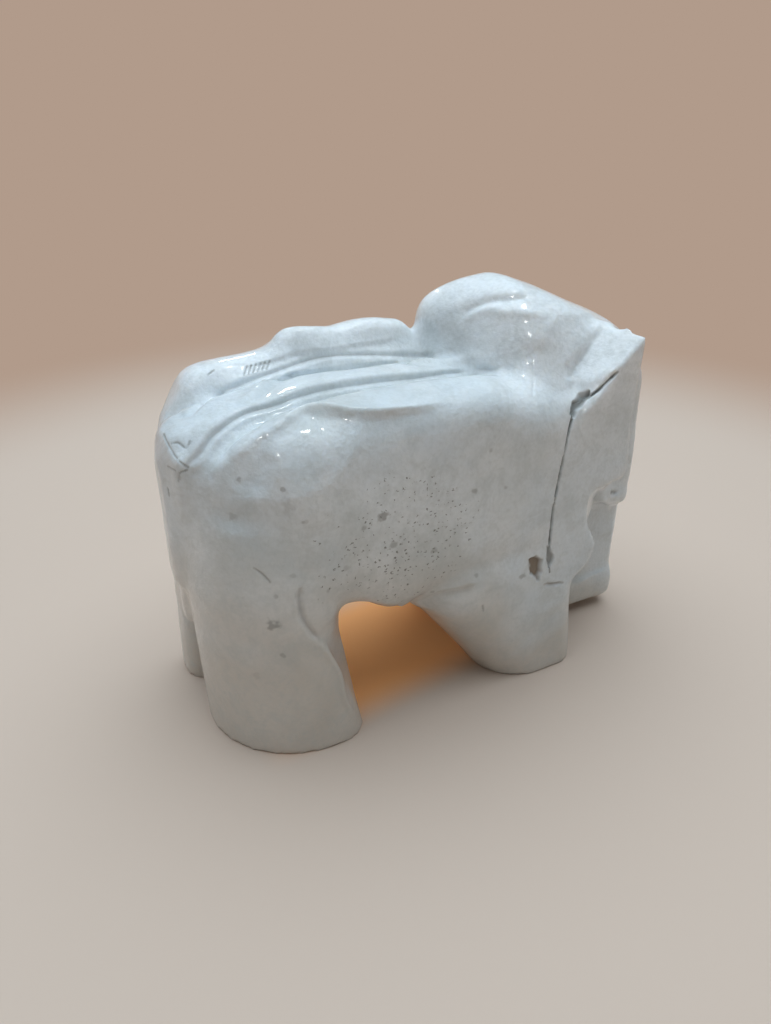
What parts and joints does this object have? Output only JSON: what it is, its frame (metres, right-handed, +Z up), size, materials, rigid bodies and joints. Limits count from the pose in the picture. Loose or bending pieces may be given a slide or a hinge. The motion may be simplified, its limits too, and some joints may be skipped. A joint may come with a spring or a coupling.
{
  "type": "alabaster elephant carving",
  "caption": "Small standing elephant carved from one block of polished white alabaster: domed head, slab ears, grooved back, trunk hanging to the ground.",
  "frame": {"origin": "on the ground, under the middle of the carving's bounding box", "axes": "+X towards the head and trunk, +Y the elephant's left, +Z up"},
  "size_m": [0.152, 0.063, 0.1209],
  "materials": {
    "alabaster": "polished, translucent white with grey clouds and fine dark pits"
  },
  "bodies": {
    "root": {"elephant": "alabaster"}
  },
  "joints": []
}
